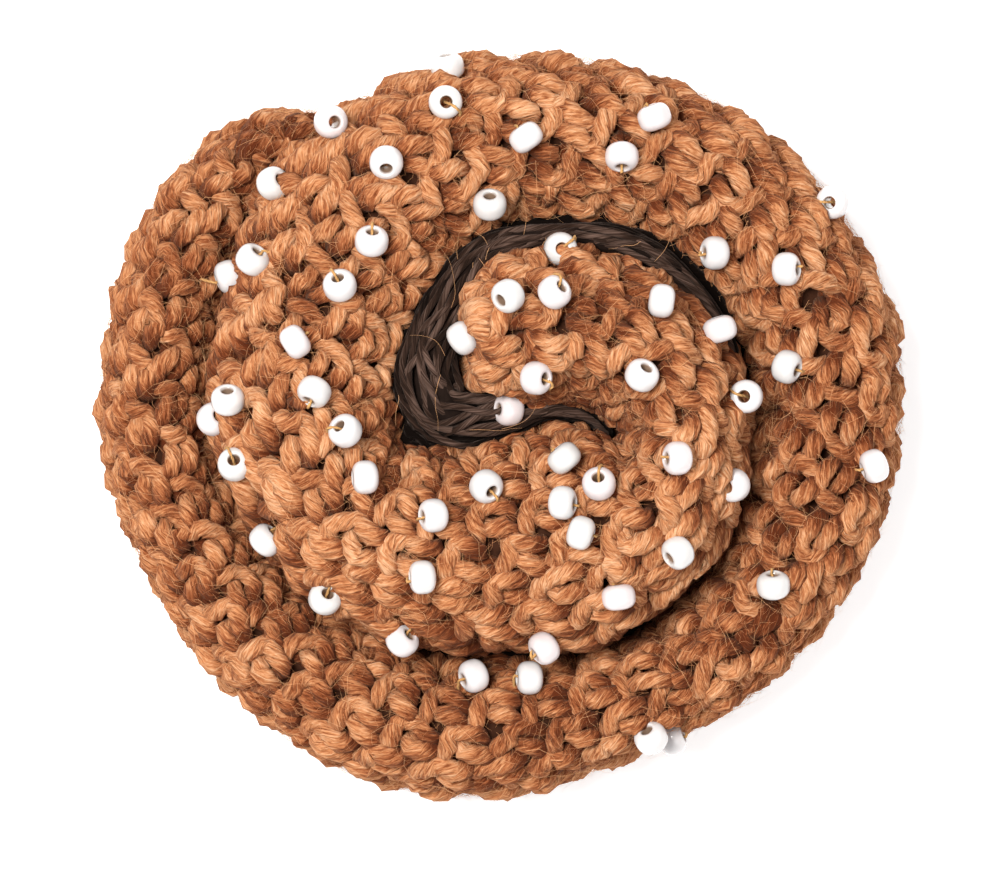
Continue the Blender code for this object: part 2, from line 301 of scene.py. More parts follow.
# x, y, the direction that the hole opens to, its lean from upright, and how much deeper than the
# others it is sewn in
BEADS = (
    (-6.0, 39.8, 100, 75, 0.9),
    (-6.2, 35.7, 0, 5, 0.0),
    (-18.9, 33.6, 355, 22, 0.0),
    (-12.7, 29.0, 270, 35, 0.0),
    (-25.3, 26.8, 25, 45, 0.0),
    (2.7, 31.8, 125, 88, 0.0),
    (16.9, 34.1, 110, 85, 0.0),
    (13.3, 29.7, 270, 60, 0.0),
    (-1.3, 24.4, 90, 48, 0.0),
    (-14.3, 20.3, 85, 52, 0.0),
    (-27.5, 18.3, 55, 58, 0.0),
    (-30.3, 16.5, 200, 85, 0.0),
    (-17.8, 15.4, 105, 42, 0.0),
    (-22.7, 9.2, 32, 90, 0.0),
    (6.5, 19.5, 0, 8, 0.3),
    (0.7, 14.2, 212, 48, 0.0),
    (5.8, 14.6, 38, 52, 0.0),
    (-4.3, 9.6, 35, 78, 0.0),
    (17.6, 13.7, 172, 90, 0.0),
    (23.6, 19.1, 180, 65, 0.0),
    (31.5, 17.3, 0, 68, 0.0),
    (36.8, 24.8, 190, 20, 0.0),
    (24.1, 10.6, 107, 88, -0.6),
    (31.6, 6.5, 340, 62, 0.0),
    (3.8, 5.2, 355, 50, 0.0),
    (15.4, 5.5, 58, 48, 0.0),
    (27.0, 3.2, 180, 12, -0.6),
    (0.8, 1.8, 180, 58, -0.2),
    (-20.6, 3.7, 240, 62, 0.6),
    (-30.2, 2.8, 92, 52, 0.0),
    (-31.9, 0.7, 30, 35, 0.0),
    (-17.2, -0.6, 140, 42, 0.0),
    (-29.5, -4.3, 95, 24, 0.0),
    (-15.0, -5.7, 183, 82, 0.0),
    (-7.5, -9.9, 186, 64, 0.0),
    (-1.7, -6.7, 318, 42, 0.0),
    (6.9, -3.6, 130, 88, 0.0),
    (10.7, -6.4, 98, 34, 0.0),
    (6.7, -8.5, 355, 72, 0.0),
    (8.7, -11.8, 342, 84, 0.0),
    (19.3, -3.6, 182, 64, 0.0),
    (25.6, -6.6, 195, 35, 0.3),
    (41.3, -4.5, 200, 80, 0.0),
    (19.4, -14.0, 213, 60, 0.0),
    (12.9, -18.9, 98, 86, 0.3),
    (30.1, -17.7, 92, 66, 0.0),
    (-26.1, -12.7, 45, 70, 0.2),
    (-8.7, -16.7, 184, 82, 0.0),
    (-19.5, -19.1, 60, 30, 0.0),
    (-11.0, -23.8, 40, 55, -0.3),
    (-3.1, -27.8, 200, 65, 0.0),
    (3.1, -28.0, 181, 80, 0.0),
    (4.7, -24.6, 212, 72, -0.5),
    (16.6, -34.7, 120, 50, 0.5),
    (19.0, -34.9, 20, 80, 1.1),
)

# Loose fibres: how many, the points to each, the range of their lengths and of how far they lift,
# and their radius.
FUZZ_KINDS = (
    ("long_fuzz", 110, 9, (7.0, 15.0), (0.4, 1.8), 0.024),
    ("loose_fuzz", 2600, 4, (2.0, 6.0), (0.2, 1.5), 0.018),
    ("yarn_frizz", 9500, 4, (0.8, 2.4), (0.1, 0.6), 0.020),
    ("yarn_haze", 13000, 3, (0.7, 2.0), (0.2, 0.9), 0.013),
)
# They grow at least so far from the middle of the foot and at most so far from the crest. Then
# how far off the surface they start, how much they bend and waver, how low they may lie, and how
# a hair tapers.
FUZZ_FOOT = 3.0
FUZZ_REACH = 30.0
FUZZ_START = 0.3
FUZZ_BEND = 0.35
FUZZ_WAVER = 0.06
FUZZ_LOWEST = 0.3
HAIR_SIDES = 3
HAIR_TAPER = (0.8, 1.0, 0.35)

# Hairs over the filling: how many, where it is at least this wide to a side, and their form.
STRAY_HAIRS = 16
STRAY_ROOM = 0.9
STRAY_POINTS = 6
STRAY_LENGTHS = (3.0, 7.0)
STRAY_LIFT = (0.1, 0.5)
STRAY_RADIUS = 0.022
STRAY_BEND = 0.25
STRAY_WAVER = 0.2
STRAY_SMOOTH = 3
STRAY_STEP = 0.5

# Tones from dark to light: where on the scale from 0 to 1, and the colour.
DOUGH_STOPS = (
    (0.24, (0.085, 0.019, 0.006)),
    (0.335, (0.240, 0.072, 0.026)),
    (0.415, (0.445, 0.184, 0.076)),
    (0.52, (0.605, 0.335, 0.186)),
)
FILLING_STOPS = (
    (0.30, (0.003, 0.0015, 0.001)),
    (0.46, (0.023, 0.012, 0.008)),
    (0.64, (0.120, 0.074, 0.057)),
)
THREAD_STOPS = ((0.3, (0.30, 0.14, 0.05)), (0.7, (0.62, 0.36, 0.14)))
FUZZ_STOPS = ((0.3, (0.55, 0.24, 0.09)), (0.7, (0.85, 0.50, 0.26)))
FRIZZ_STOPS = ((0.3, (0.30, 0.11, 0.04)), (0.7, (0.66, 0.32, 0.15)))
BEAD_STOPS = ((0.0, (0.52, 0.51, 0.50)), (0.5, (0.58, 0.56, 0.56)), (1.0, (0.56, 0.50, 0.50)))
# Painted brown shade inside a bead's hole.
BEAD_HOLE_PAINTED_SHADE = (0.20, 0.13, 0.09)
# The stuffing's skin, which shows in the holes between stitches, is painted this dark as shade.
STUFFING_PAINTED_SHADE = (0.050, 0.019, 0.010)
FILLING_COLOUR = (0.014, 0.008, 0.006)
# Between these heights painted shade darkens the yarn low down, fading to its full tone higher up.
PAINTED_LOW_SHADE_HEIGHTS = (20.0, 36.0)
# A yarn's tone: the share of its broad strands and of patches over the whole piece.
STRANDS_IN_TONE = 0.35
PATCHES_IN_TONE = 0.15
PATCH_SCALE = 180.0
# Its fibres: the strands' scale beside the fibres', and the fibres' share in the relief.
BROAD_SCALE = 0.35
FIBRE_RELIEF = 0.5
FIBRE_NOISE = {"Roughness": 0.6, "Distortion": 0.9}
YARN_FINISH = {"Roughness": 0.9, "Specular IOR Level": 0.05, "Sheen Roughness": 0.45}
CLOTH_FINISH = {"Roughness": 0.95, "Specular IOR Level": 0.05}
CLOTH_SCALE = 900.0
CLOTH_RELIEF = 0.2
CLOTH_DARKEST = 0.5
BEAD_FINISH = {
    "Roughness": 0.18,
    "Subsurface Weight": 0.25,
    "Subsurface Radius": (1.0, 0.8, 0.8),
    "Subsurface Scale": 0.8 * MM,
    "Coat Weight": 0.3,
    "Coat Roughness": 0.08,
}
FLOOR_FINISH = {
    "Base Color": (0.70, 0.70, 0.70, 1),
    "Roughness": 0.9,
    "Emission Color": (1, 1, 1, 1),
    "Emission Strength": 0.55,
}

# The floor's half width and the world's light. Each light: name, place and size in metres, power
# in watts and colour. Both look at a place just over the floor.
FLOOR_HALF = 3.0
WORLD_LIGHT = 0.65
LIGHTS = (
    ("window", (-0.21, 0.10, 0.86), 0.30, 12.6, (1.0, 0.98, 0.95)),
    ("fill", (0.4, -0.4, 0.75), 0.6, 1.5, (0.95, 0.97, 1.0)),
)
LIGHT_AIM = (0, 0, 0.02)

# The camera looks straight down. The picture's scale holds at the height of the bun's outline.
CAMERA_HEIGHT = 1500.0
SILHOUETTE_HEIGHT = 25.0
SENSOR = 36.0
CAMERA_SEES = 10


# The strip's surface


def catmull(rows, per_row):
    """A smooth curve through rows of numbers, with per_row points to each stretch."""
    rows = np.asarray(rows, float)
    padded = np.vstack((rows[0] * 2 - rows[1], rows, rows[-1] * 2 - rows[-2]))
    before, start, end, after = (padded[i : len(padded) - 3 + i, None, :] for i in range(4))
    t = (np.arange(per_row) / per_row)[None, :, None]
    points = (
        start * 2
        + (end - before) * t
        + (before * 2 - start * 5 + end * 4 - after) * t**2
        + (start * 3 - before - end * 3 + after) * t**3
    ) / 2
    return np.vstack((points.reshape(-1, rows.shape[1]), rows[-1]))


def lengths_along(points, axes):
    steps = np.linalg.norm(np.diff(points[:, :axes], axis=0), axis=1)
    return np.concatenate(([0.0], np.cumsum(steps)))


def evened(points, axes, spacing=None, count=None):
    """The curve read again at equal steps of its length over its first axes."""
    along = lengths_along(points, axes)
    if count is None:
        count = max(2, round(along[-1] / spacing))
    wanted = np.linspace(0, along[-1], count + 1)
    return np.stack([np.interp(wanted, along, column) for column in points.T], axis=1)


def signed_power(value, power):
    return np.sign(value) * np.abs(value) ** (2 / power)


def strip_section(half_width, top):
    """Offset to the outer side and height, round the strip from the middle of its foot."""
    turn = 2 * np.pi * np.arange(SECTION_FINE + 1) / SECTION_FINE - np.pi / 2
    power = np.where(np.sin(turn) > 0, TOP_POWER, FOOT_POWER)
    side = half_width * signed_power(np.cos(turn), WALL_POWER)
    height = (top + FOOT_PRESS) * (1 + signed_power(np.sin(turn), power)) / 2 - FOOT_PRESS
    fine = np.stack((side, np.maximum(height, 0.0)), axis=1)
    return evened(fine, 2, count=SECTION_STEPS)[:-1], lengths_along(fine, 2)[-1]


class StripSurface:
    """The strip's smooth surface: a place on it by way along, way from the crest, and height."""

    def __init__(self):
        rows = []
        for angle, inner, outer, top in TURNS:
            turn = math.radians(angle)
            middle = (inner + outer) / 2
            x, y = middle * math.cos(turn), middle * math.sin(turn)
            rows.append((x, y, (outer - inner) / 2, top))
        rows.extend(HEART)
        route = evened(catmull(rows, ROUTE_FINE), 2, spacing=ROUTE_STEP)
        self.step = lengths_along(route, 2)[-1] / (len(route) - 1)
        angles = np.degrees(np.unwrap(np.arctan2(route[:, 1], route[:, 0])))
        past = angles - angles[0] > FREE_TO_ANGLE - TURNS[0][0]
        self.free_to = self.step * (END_RINGS + np.argmax(past))
        ways = np.gradient(route[:, :2], axis=0)
        ways /= np.linalg.norm(ways, axis=1)[:, None]
        outward = np.stack((ways[:, 1], -ways[:, 0]), axis=1)
        places, normals, rounds = [], [], []
        for row, way, out in zip(route, ways, outward):
            section, length = strip_section(row[2], row[3])
            along = np.roll(section, -1, axis=0) - np.roll(section, 1, axis=0)
            along /= np.linalg.norm(along, axis=1)[:, None]
            plan = row[:2] + section[:, :1] * out
            places.append(np.column_stack((plan, section[:, 1])))
            normals.append(np.column_stack((along[:, 1:] * out, -along[:, 0])))
            rounds.append(length)
        first = self.closing(places[0], normals[0], rounds[0], -ways[0])
        last = self.closing(places[-1], normals[-1], rounds[-1], ways[-1])
        self.places = np.array([*first[0][::-1], *places, *last[0]])
        self.normals = np.array([*first[1][::-1], *normals, *last[1]])
        self.rounds = np.array([*first[2][::-1], *rounds, *last[2]])
        self.length = (len(self.places) - 1) * self.step

    def closing(self, ring, normals, length, way):
        """Rings that shrink past an end of the strip, so that it ends rounded."""
        centre = ring.mean(axis=0)
        away = np.array((way[0], way[1], 0.0))
        places, facing, rounds = [], [], []
        for step in range(1, END_RINGS + 1):
            turn = math.pi / 2 * step / (END_RINGS + 0.5)
            spot = centre + (ring - centre) * math.cos(turn) + away * END_DEPTH * math.sin(turn)
            normal = normals * math.cos(turn) + away * math.sin(turn)
            places.append(spot)
            facing.append(normal / np.linalg.norm(normal, axis=1)[:, None])
            rounds.append(length)
        return places, facing, rounds

    def round_at(self, along):
        return np.interp(along / self.step, np.arange(len(self.rounds)), self.rounds)

    def at(self, along, across, height):
        """Points at arrays of the way along, the way inwards from the crest, and height."""
        row = np.clip(along / self.step, 0, len(self.places) - 1.001)
        column = (0.5 + across / self.round_at(along)) * SECTION_STEPS
        low = row.astype(int)
        left = np.floor(column).astype(int)
        part = (row - low)[:, None]
        side = (column - left)[:, None]
        left = left % SECTION_STEPS
        right = (left + 1) % SECTION_STEPS

        def read(table):
            near = table[low, left] * (1 - side) + table[low, right] * side
            far = table[low + 1, left] * (1 - side) + table[low + 1, right] * side
            return near * (1 - part) + far * part

        normal = read(self.normals)
        normal /= np.maximum(np.linalg.norm(normal, axis=1)[:, None], 1e-6)
        return read(self.places) + normal * height[:, None], normal


strip = StripSurface()


# Shapes


def finished(name, mesh, material, replaces=()):
    """A piece from a finished bmesh."""
    data = bpy.data.meshes.new(name)
    mesh.to_mesh(data)
    mesh.free()
    data.shade_smooth()
    data.materials.clear()
    data.materials.append(material)
    piece = bpy.data.objects.new(name, data)
    bpy.context.scene.collection.objects.link(piece)
    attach(piece, "root")
    if replaces:
        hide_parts(*replaces)
    return piece


def yarn_profile(name, radius, sides, plies, groove):
    """A closed outline with a round lobe for each ply, for yarn to be drawn along its path."""
    data = bpy.data.curves.new(name, "CURVE")
    data.dimensions = "2D"
    outline = data.splines.new("POLY")
    outline.points.add(sides - 1)
    for index, point in enumerate(outline.points):
        turn = 2 * math.pi * index / sides
        reach = radius * MM * (1 + groove * math.cos(plies * turn))
        point.co = (reach * math.cos(turn), reach * math.sin(turn), 0, 1)
    outline.use_cyclic_u = True
    profile = bpy.data.objects.new(name, data)
    bpy.context.scene.collection.objects.link(profile)
    return profile


def drawn_yarn(paths, profile, twist):
    """A bmesh of yarn drawn along each path, with the way along it in millimetres in its UV map."""
    whole = bmesh.new()
    for path in paths:
        data = bpy.data.curves.new("path", "CURVE")
        data.dimensions = "3D"
        data.bevel_mode = "OBJECT"
        data.bevel_object = profile
        data.use_fill_caps = True
        spline = data.splines.new("POLY")
        spline.points.add(len(path) - 1)
        along = lengths_along(path, 3)
        places = np.column_stack((path[:, :3] * MM, np.ones(len(path))))
        spline.points.foreach_set("co", places.ravel())
        turn = rng.uniform(0, 2 * math.pi)
        spline.points.foreach_set("tilt", turn + along * 2 * math.pi / twist)
        if path.shape[1] > 3:
            spline.points.foreach_set("radius", path[:, 3].copy())
        holder = bpy.data.objects.new("path", data)
        bpy.context.scene.collection.objects.link(holder)
        depsgraph = bpy.context.evaluated_depsgraph_get()
        mesh = bpy.data.meshes.new_from_object(holder.evaluated_get(depsgraph))
        layer = mesh.uv_layers[0]
        values = np.empty(len(mesh.loops) * 2, np.float32)
        layer.uv.foreach_get("vector", values)
        values[0::2] = values[0::2] * along[-1] + rng.uniform(0, PATTERN_LENGTH)
        layer.uv.foreach_set("vector", values)
        shown = path[:, 4] if path.shape[1] > 4 else np.ones(len(path))
        around = len(profile.data.splines[0].points)
        # The crest attribute carries painted shade: yarn lying low in a hole is painted darker.
        light = mesh.attributes.new("crest", "FLOAT", "POINT")
        ring = np.minimum(np.arange(len(mesh.vertices)) // around, len(path) - 1)
        light.data.foreach_set("value", shown[ring].astype(np.float32))
        whole.from_mesh(mesh)
        bpy.data.objects.remove(holder)
        bpy.data.curves.remove(data)
        bpy.data.meshes.remove(mesh)
    bmesh.ops.recalc_face_normals(whole, faces=whole.faces)
    return whole


# Stitches


def runs_of(mask):
    """The stretches of neighbouring true values, as pairs of first index and one past the last."""
    edges = np.flatnonzero(np.diff(np.concatenate(([0], mask.astype(int), [0]))))
    return list(zip(edges[0::2], edges[1::2]))


def spread_of(flat, laid, reach):
    """How much the strip's bend draws the yarn out or pushes it together, evened over a stitch."""
    near = np.ones(reach)
    before, after = (np.linalg.norm(np.diff(points, axis=0), axis=1) for points in (flat, laid))
    ends = np.pad(before, reach, mode="edge"), np.pad(after, reach, mode="edge")
    evened_before, evened_after = (np.convolve(steps, near, "same")[reach:-reach] for steps in ends)
    spread = np.clip(evened_after / evened_before, *SPREAD_LIMITS)
    return np.append(spread, spread[-1])


def laid_height(dense, shift):
    """How high the yarn lies: swollen at each stitch where free, lifted where pressed."""
    amount = np.interp(np.abs(dense[:, 1]), (0, STITCH_SWELL_REACH), STITCH_SWELL)
    swell = amount * np.cos(2 * np.pi * ((dense[:, 0] - shift) / STITCH - STITCH_MIDDLE))
    swell = swell - STITCH_SWELL_SINK * (amount - STITCH_SWELL[0])
    inside = (dense[:, 1] > 0) | (dense[:, 0] > strip.free_to)
    pressed = inside * np.interp(np.abs(dense[:, 1]), (PRESSED_FROM, PRESSED_FULL), (0, 1))
    return dense[:, 2] + swell * (1 - pressed) + PRESSED_FILL * pressed


def row_paths(row, pattern, wander, width_wander):
    """The yarn's paths along one row of stitches, wherever the strip is wide enough to carry it."""
    shift = max(row, LAST_SHIFTED_ROW) * ROW_SHIFT + rng.normal(0, ROW_SHIFT_WANDER)
    shift = shift % 1 * STITCH
    columns = np.arange(shift - STITCH, strip.length, STITCH)
    middle = (row + 0.5) * ROW
    carried = np.abs(middle) < strip.round_at(columns) / 2 + ROW * ROW_OVERLAP
    paths = []
    for first, last in runs_of(carried):
        knots = []
        for column in columns[first:last]:
            lift = rng.normal(0, STITCH_LIFT)
            for along, across, height, width in pattern:
                stray = rng.normal(0, 1, 3) * wander
                knots.append(
                    (
                        column + (along + stray[0]) * STITCH,
                        (row + across + stray[1]) * ROW,
                        height + stray[2] + lift - YARN_DEPTH,
                        width + rng.normal(0, width_wander),
                    )
                )
        knots = [knot for knot in knots if 0 < knot[0] < strip.length]
        if len(knots) < 3:
            continue
        dense = catmull(knots, STITCH_SMOOTH)
        places, _ = strip.at(dense[:, 0], dense[:, 1], laid_height(dense, shift))
        width = dense[:, 3] * spread_of(dense[:, :3], places, len(pattern) * STITCH_SMOOTH)
        places[:, 2] = np.maximum(places[:, 2], YARN_RADIUS * (1 + YARN_GROOVE) * width)
        # How far up the yarn lies, which sets the painted shade in the holes between stitches.
        shown = np.clip((dense[:, 2] + YARN_DEPTH + SUNK) / (SUNK + PROUD), 0, 1)
        paths.append(evened(np.column_stack((places, width, shown)), 3, spacing=YARN_STEP))
    return paths


def stitched_yarn(material):
    """All the rows of stitches, in six bands round the strip, and the row of yarn under them."""
    profile = yarn_profile("yarn_profile", YARN_RADIUS, YARN_SIDES, YARN_PLIES, YARN_GROOVE)
    thin = yarn_profile("under_profile", UNDER_RADIUS, UNDER_SIDES, YARN_PLIES, 0.0)
    reach = int(strip.rounds.max() / 2 / ROW) + 1
    parts = {
        "yarn_outer_foot": range(-reach, -FOOT_ROW),
        "yarn_outer_side": range(-FOOT_ROW, -SIDE_ROW),
        "yarn_outer_top": range(-SIDE_ROW, 0),
        "yarn_inner_top": range(0, SIDE_ROW),
        "yarn_inner_side": range(SIDE_ROW, FOOT_ROW),
        "yarn_inner_foot": range(FOOT_ROW, reach),
    }
    wander = np.array(STITCH_WANDER)
    for name, rows in parts.items():
        paths = []
        for row in rows:
            paths.extend(row_paths(row, STITCH_PATH, wander, YARN_WIDTH_WANDER))
        finished(name, drawn_yarn(paths, profile, YARN_TWIST), material)
    paths = []
    for row in range(-reach, reach):
        paths.extend(row_paths(row, UNDER_PATH, wander / 2, UNDER_WIDTH_WANDER))
    finished("yarn_underneath", drawn_yarn(paths, thin, YARN_TWIST), material)
    bpy.data.objects.remove(profile)
    bpy.data.objects.remove(thin)


def strip_sheet(depth, step):
    """A closed skin at a depth under the strip's surface."""
    rows = list(range(0, len(strip.places) - 1, step)) + [len(strip.places) - 1]
    sheet = bmesh.new()
    around = SECTION_STEPS // SHEET_COLUMN_STEP
    bmesh.ops.create_grid(sheet, x_segments=len(rows) - 1, y_segments=around, size=1)
    sheet.verts.ensure_lookup_table()
    for vertex in sheet.verts:
        row = rows[round((vertex.co.x + 1) / 2 * (len(rows) - 1))]
        column = round((vertex.co.y + 1) / 2 * around)
        column = column * SHEET_COLUMN_STEP % SECTION_STEPS
        place = strip.places[row, column] - strip.normals[row, column] * depth
        vertex.co = Vector((place[0], place[1], max(place[2], depth))) * MM
    bmesh.ops.remove_doubles(sheet, verts=sheet.verts, dist=MERGE)
    bmesh.ops.holes_fill(sheet, edges=sheet.edges, sides=0)
    bmesh.ops.recalc_face_normals(sheet, faces=sheet.faces)
    return sheet


# The filling


def filling_route():
    """The filling's middle line with half width and top, the way to its side and the way along."""
    rows = [
        ((x - ORIGIN_PIXEL[0]) * PIXEL, (ORIGIN_PIXEL[1] - y) * PIXEL, half * PIXEL, top)
        for x, y, half, top in FILLING
    ]
    route = evened(catmull(rows, ROUTE_FINE), 2, spacing=STRAND_STEP)
    ways = np.gradient(route[:, :2], axis=0)
    ways /= np.linalg.norm(ways, axis=1)[:, None]
    return route, np.stack((ways[:, 1], -ways[:, 0]), axis=1), lengths_along(route, 2)


def strand_path(route, across, side, height):
    """A strand at a distance from the middle line, painted darker as shade the deeper it lies."""
    deep = route[:, 3] - height
    shown = np.clip((STRAND_SHADE[0] - deep) / (STRAND_SHADE[0] - STRAND_SHADE[1]), 0, 1)
    plan = route[:, :2] + across * side[:, None]
    return np.column_stack((plan, height, np.ones(len(route)), shown))


def side_by_side(radius, spacing, drop, wider):
    """Strands next to each other, which wander a little and tuck under where it narrows."""
    route, across, along = filling_route()

    def wander(waves, amount):
        return amount * sum(
            rng.uniform(*WAVE_SHARE) * np.sin(along * 2 * np.pi / wave + rng.uniform(0, PHASES))
            for wave in waves
        )

    half = route[:, 2] + wider
    count = int(half.max() / spacing)
    paths = []
    for index in range(-count, count + 1):
        offset = index * spacing
        room = np.maximum(half - radius * STRAND_INSET, STRAND_ROOM)
        calm = np.minimum(half / STRAND_FREE_HALF, 1.0)
        side = np.clip(offset, -room, room) + calm * wander(STRAND_SWAY_WAVES, STRAND_SWAY)
        tucked = np.maximum(np.abs(offset) - room, 0)
        height = route[:, 3] - radius - drop - STRAND_CROWN * (side / (room + radius)) ** 2
        height = height - tucked * STRAND_TUCK + wander(STRAND_RISE_WAVES, STRAND_RISE)
        paths.append(strand_path(route, across, side, height))
    return paths


def crossing_strands(radius):
    """Loose strands that lie over the others, from one side of the filling to the other."""
    route, across, along = filling_route()
    paths = []
    for _ in range(CROSSING_STRANDS):
        swing = np.sin(along * 2 * np.pi / rng.uniform(*CROSSING_SWING) + rng.uniform(0, PHASES))
        side = swing * np.maximum(route[:, 2] - radius, STRAND_ROOM)
        rise = np.sin(along * 2 * np.pi / CROSSING_WAVE + rng.uniform(0, PHASES))
        height = route[:, 3] - radius * STRAND_INSET - CROSSING_CROWN * swing**2
        height = height + CROSSING_RISE * rise
        paths.append(strand_path(route, across, side, height))
    return paths


def filling_strands(material):
    """The strands that show, and the two layers of the bed under them."""
    profile = yarn_profile("strand_profile", STRAND_RADIUS, STRAND_SIDES, 0, 0.0)
    paths = side_by_side(STRAND_RADIUS, STRAND_SPACING, 0.0, 0.0)
    paths += crossing_strands(STRAND_RADIUS)
    finished("filling_strands", drawn_yarn(paths, profile, STRAND_TWIST), material)
    bpy.data.objects.remove(profile)
    profile = yarn_profile("bed_profile", BED_RADIUS, STRAND_SIDES, 0, 0.0)
    paths = side_by_side(BED_RADIUS, BED_SPACING, BED_DROP, 0.0)
    paths += side_by_side(BED_RADIUS, BED_SPACING, BED_DEEP, BED_WIDER)
    finished("filling_bed", drawn_yarn(paths, profile, STRAND_TWIST), material)
    bpy.data.objects.remove(profile)


def filling_body(material):
    """The filling below its top strands: a copy of the part's own solid, made whole."""
    body = bmesh.new()
    body.from_mesh(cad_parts["filling"].data)
    bmesh.ops.remove_doubles(body, verts=body.verts, dist=MERGE)
    return finished("filling_body", body, material, ("filling",))


# Beads and their thread


def bead_shape():
    """One bead, spun round its hole's line, which is Z."""
    bead = bmesh.new()
    half = BEAD_LENGTH / 2
    rim = math.acos((BEAD_HOLE / BEAD_DIAMETER) ** (1 / BEAD_ROUNDNESS))
    outline = []
    for index in range(BEAD_OUTLINE + 1):
        turn = rim * (2 * index / BEAD_OUTLINE - 1)
        x = BEAD_DIAMETER / 2 * math.cos(turn) ** BEAD_ROUNDNESS
        z = half * math.copysign(abs(math.sin(turn)) ** BEAD_ROUNDNESS, turn)
        outline.append(bead.verts.new((x * MM, 0, z * MM)))
    for z in (half - BEAD_HOLE_DEPTH, BEAD_HOLE_DEPTH - half):
        outline.append(bead.verts.new((BEAD_HOLE / 2 * BEAD_HOLE_WAIST * MM, 0, z * MM)))
    edges = [bead.edges.new((outline[i - 1], outline[i])) for i in range(len(outline))]
    bmesh.ops.spin(
        bead, geom=edges + outline, cent=(0, 0, 0), axis=(0, 0, 1), angle=2 * math.pi,
        steps=BEAD_STEPS, use_merge=True,
    )
    bmesh.ops.remove_doubles(bead, verts=bead.verts, dist=BEAD_MERGE)
    bmesh.ops.recalc_face_normals(bead, faces=bead.faces)
    data = bpy.data.meshes.new("one_bead")
    bead.to_mesh(data)
    bead.free()
    return data


def bead_places():
    """Each bead's place and turn, and the surface of strip and filling that it rests on."""
    sheet = strip_sheet(0.0, 1)
    sheet.from_mesh(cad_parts["filling"].data)
    surface = BVHTree.FromBMesh(sheet)
    places = []
    for x, y, azimuth, lean, deeper in BEADS:
        rest = (BEAD_DIAMETER / 2 - BEAD_SINK - deeper) * MM
        centre = Vector((x, y, BEAD_DROP_FROM)) * MM
        for _ in range(BEAD_DROP_STEPS):
            distance = surface.find_nearest(centre)[3]
            if distance - rest < BEAD_TOUCH * MM:
                break
            centre.z -= distance - rest
        turn = Matrix.Rotation(math.radians(azimuth), 4, "Z")
        tilt = Matrix.Rotation(math.radians(lean), 4, "Y")
        places.append(Matrix.Translation(centre) @ turn @ tilt)
    sheet.free()
    return places, surface


def threaded_beads(bead_glass, thread_material):
    """All the beads as one piece, and the threads of those that show one as another."""
    one = bead_shape()
    places, surface = bead_places()
    whole = bmesh.new()
    shade = whole.verts.layers.float.new("bead_shade")
    inside = whole.verts.layers.float.new("bead_hole_painted_shade")
    paths = []
    for place in places:
        start = len(whole.verts)
        whole.from_mesh(one)
        whole.verts.ensure_lookup_table()
        new = whole.verts[start:]
        value = rng.uniform(0, 1)
        for vertex in new:
            vertex[shade] = value
            from_line = math.hypot(vertex.co.x, vertex.co.y)
            # Points inside the hole are marked for painted shade.
            vertex[inside] = float(from_line < BEAD_HOLE / 2 * (1 + BEAD_HOLE_WAIST) / 2 * MM)
        bmesh.ops.transform(whole, matrix=place, verts=new)
        path = thread_path(place, surface)
        if rng.uniform() < THREAD_SHARE:
            paths.append(path)
    bpy.data.meshes.remove(one)
    finished("beads", whole, bead_glass)
    profile = yarn_profile(
        "thread_profile", THREAD_RADIUS, THREAD_SIDES, THREAD_PLIES, THREAD_GROOVE
    )
    threads = drawn_yarn(paths, profile, THREAD_TWIST)
    finished("bead_thread", threads, thread_material)
    bpy.data.objects.remove(profile)


def thread_path(place, surface):
    """The thread through a bead: out of its open end and down into the yarn beside it."""
    half = BEAD_LENGTH / 2
    rim = BEAD_DIAMETER / 2
    side = Matrix.Rotation(rng.normal(0, THREAD_SPREAD), 4, "Z")
    lean = place.to_3x3() @ Vector((0, 0, 1))
    # In the bead's own axes, with the hole along Z: from inside the hole to past its rim.
    local = [
        (-0.2, 0.1, -half * 0.8),
        (0.0, 0.0, 0.0),
        (BEAD_HOLE * 0.3, 0.05, half * 0.8),
    ]
    if lean.z > THREAD_UPRIGHT:
        local += [
            (BEAD_HOLE * 0.62, 0.1, half + 0.08),
            (rim * 0.85, 0.05, half * 0.85),
            (rim + 0.10, 0.0, half * 0.2),
        ]
    else:
        local.append((BEAD_HOLE * 0.35, 0.05, half + 0.2))
    points = [place @ side @ (Vector(point) * MM) for point in local]
    ground, outward = surface.find_nearest(points[-1])[:2]
    if outward.dot(points[-1] - ground) < 0:
        outward = -outward
    points.append(ground - outward * THREAD_DEPTH * MM)
    return evened(catmull([point / MM for point in points], THREAD_SMOOTH), 3, spacing=THREAD_STEP)


# Loose fibres


def fuzz_paths(count, points, length_range, lift_range):
    """Loose fibres that wander over the strip's surface and lift off it."""
    paths = []
    for _ in range(count):
        along = rng.uniform(0, strip.length)
        reach = min(strip.round_at(along) / 2 - FUZZ_FOOT, FUZZ_REACH)
        across = rng.uniform(-reach, reach)
        heading = rng.uniform(0, 2 * math.pi)
        step = rng.uniform(*length_range) / (points - 1)
        height = rng.uniform(-FUZZ_START, FUZZ_START)
        climb = rng.uniform(*lift_range) / (points - 1)
        knots = []
        bend = rng.normal(0, FUZZ_BEND)
        for _ in range(points):
            knots.append((along, across, height))
            heading += bend + rng.normal(0, FUZZ_BEND)
            along += step * math.cos(heading)
            across += step * math.sin(heading)
            height += climb + rng.normal(0, FUZZ_WAVER)
        knots = np.array(knots)
        places, _ = strip.at(knots[:, 0], knots[:, 1], knots[:, 2])
        places[:, 2] = np.maximum(places[:, 2], FUZZ_LOWEST)
        paths.append(places)
    return paths


